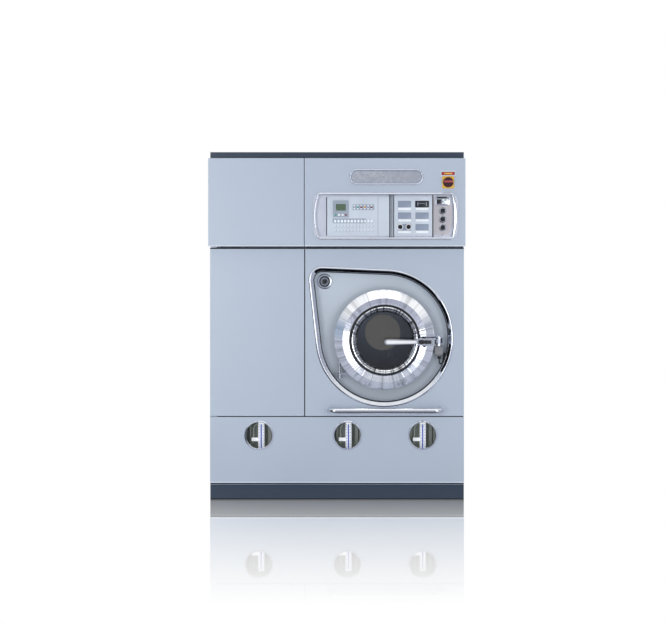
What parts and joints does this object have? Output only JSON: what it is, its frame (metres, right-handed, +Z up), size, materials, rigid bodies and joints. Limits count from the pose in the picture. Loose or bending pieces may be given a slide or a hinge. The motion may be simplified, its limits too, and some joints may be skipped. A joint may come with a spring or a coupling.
{
  "type": "dry cleaning machine",
  "caption": "Front-loading dry cleaning machine: sheet-metal cabinet with a glazed round door in a teardrop recess, perforated drum, control fascia and tank portholes.",
  "frame": {"origin": "on the floor, at the middle of the plinth's footprint", "axes": "+X to the right seen from the front, +Y from the front to the back, +Z up"},
  "size_m": [1.468, 1.379, 2.001],
  "materials": {
    "panel_paint": "smooth pale blue-grey paint",
    "fascia_paint": "smooth pale blue-grey paint",
    "dark_paint": "dark slate paint",
    "frame_paint": "satin grey paint",
    "shelf_steel": "satin grey paint",
    "recess_paint": "satin blue-grey paint",
    "polished_trim": "polished",
    "port_rim": "polished",
    "bar_steel": "brushed",
    "port_fitting": "satin",
    "plate_steel": "brushed along its length",
    "module_plastic": "matt white-blue film",
    "display_plastic": "smooth grey with dark windows",
    "badge_metal": "satin",
    "fitting_steel": "satin",
    "catch_steel": "polished",
    "switch_plastic": "matt grey",
    "lead_rubber": "smooth black sheath",
    "mouth_steel": "satin",
    "seal_rubber": "smooth black",
    "shell_steel": "satin",
    "housing_iron": "painted casting",
    "tank_paint": "grey-green paint",
    "scale_plastic": "white",
    "gauge_glass": "clear blue tube",
    "motor_paint": "dark grey paint",
    "belt_rubber": "dry rubber",
    "vessel_steel": "satin",
    "pump_paint": "blue-grey paint",
    "duct_sheet": "plain sheet",
    "compressor_paint": "black paint",
    "box_paint": "light grey paint",
    "ring_steel": "polished cone, satin face",
    "clamp_chrome": "polished",
    "door_glass": "clear dark glass",
    "lever_metal": "cast and polished, pale grip",
    "cage_steel": "satin",
    "shaft_steel": "machined",
    "pulley_iron": "machined rim",
    "knob_maroon": "dark maroon",
    "knob_black": "black"
  },
  "bodies": {
    "cabinet": {"base_frame": "dark_paint", "frame": "frame_paint", "side_panels": "panel_paint", "rear_panel": "panel_paint", "roof_cap": "dark_paint", "lower_panel": "panel_paint", "porthole_rims": "port_rim", "front_panel": "panel_paint", "recess_pan": "recess_paint", "recess_trim": "polished_trim", "front_bar": "bar_steel", "dosing_port": "port_fitting", "fascia_left": "fascia_paint", "fascia_right": "fascia_paint", "control_plate": "plate_steel", "control_modules": "module_plastic", "display_units": "display_plastic", "fascia_plates": "badge_metal", "hinge_brackets": "fitting_steel", "catch_bracket": "catch_steel", "interlock_switch": "switch_plastic", "interlock_lead": "lead_rubber", "mouth_ring": "mouth_steel", "door_seal": "seal_rubber", "drum_shell": "shell_steel", "bearing_housing": "housing_iron", "solvent_tanks": "tank_paint", "gauge_scales": "scale_plastic", "gauge_tubes": "gauge_glass", "drive_motor": "motor_paint", "drive_belts": "belt_rubber", "button_trap": "vessel_steel", "filter_housing": "vessel_steel", "solvent_pump": "pump_paint", "still": "vessel_steel", "recovery_unit": "duct_sheet", "fan_housing": "duct_sheet", "compressor": "compressor_paint", "electrical_box": "box_paint", "solvent_pipes": "vessel_steel"},
    "loading_door": {"door_ring": "ring_steel", "door_plate": "fitting_steel", "glass_clamp": "clamp_chrome", "door_glass": "door_glass", "door_fittings": "fitting_steel"},
    "lever": {"door_lever": "lever_metal"},
    "drum": {"cage_wrap": "cage_steel", "cage_ends": "cage_steel", "lifters": "cage_steel", "drum_shaft": "shaft_steel", "drum_pulley": "pulley_iron"},
    "motor_shaft": {"motor_pulley": "pulley_iron"},
    "fan_wheel": {"fan_impeller": "duct_sheet"},
    "main_switch": {"main_switch_knob": "knob_maroon"},
    "button_1": {"button_top": "knob_black"},
    "button_2": {"button_middle": "knob_black"},
    "button_3": {"button_bottom": "knob_black"},
    "selector_1": {"selector_left": "knob_black"},
    "selector_2": {"selector_right": "knob_black"},
    "service_door": {"service_door": "panel_paint"}
  },
  "joints": [
    {"name": "door_hinge", "type": "hinge", "parent": "cabinet", "child": "loading_door", "pos_m": [0.014, -0.588, 0.923], "axis": [0, 0, -1], "range_deg": [0, 110]},
    {"name": "lever_pivot", "type": "hinge", "parent": "loading_door", "child": "lever", "pos_m": [0.495, -0.7, 0.919], "axis": [0, 0, 1], "range_deg": [0, 22]},
    {"name": "drum_spin", "type": "hinge", "parent": "cabinet", "child": "drum", "pos_m": [0.273, -0.3, 0.923], "axis": [0, 1, 0], "continuous": true},
    {"name": "motor_spin", "type": "hinge", "parent": "cabinet", "child": "motor_shaft", "pos_m": [0.273, 0.15, 0.6], "axis": [0, 1, 0], "continuous": true},
    {"name": "fan_spin", "type": "hinge", "parent": "cabinet", "child": "fan_wheel", "pos_m": [0.35, 0.3, 1.6], "axis": [0, 1, 0], "continuous": true},
    {"name": "service_door_hinge", "type": "hinge", "parent": "cabinet", "child": "service_door", "pos_m": [-0.721, -0.591, 0.9675], "axis": [0, 0, -1], "range_deg": [0, 105]},
    {"name": "main_switch_turn", "type": "hinge", "parent": "cabinet", "child": "main_switch", "pos_m": [0.635, -0.65, 1.823], "axis": [0, 1, 0], "range_deg": [0, 90]},
    {"name": "selector_1_turn", "type": "hinge", "parent": "cabinet", "child": "selector_1", "pos_m": [0.362, -0.64, 1.569], "axis": [0, 1, 0], "range_deg": [-135, 135]},
    {"name": "selector_2_turn", "type": "hinge", "parent": "cabinet", "child": "selector_2", "pos_m": [0.41, -0.64, 1.569], "axis": [0, 1, 0], "range_deg": [-135, 135]},
    {"name": "button_1_press", "type": "slide", "parent": "cabinet", "child": "button_1", "axis": [0, 1, 0], "range_m": [0, 0.004], "stiffness_N_per_m": 400, "springref_m": -0.004},
    {"name": "button_2_press", "type": "slide", "parent": "cabinet", "child": "button_2", "axis": [0, 1, 0], "range_m": [0, 0.004], "stiffness_N_per_m": 400, "springref_m": -0.004},
    {"name": "button_3_press", "type": "slide", "parent": "cabinet", "child": "button_3", "axis": [0, 1, 0], "range_m": [0, 0.004], "stiffness_N_per_m": 400, "springref_m": -0.004}
  ],
  "couplings": [
    {"joint": "motor_spin", "follows": "drum_spin", "ratio": 3.8333}
  ]
}
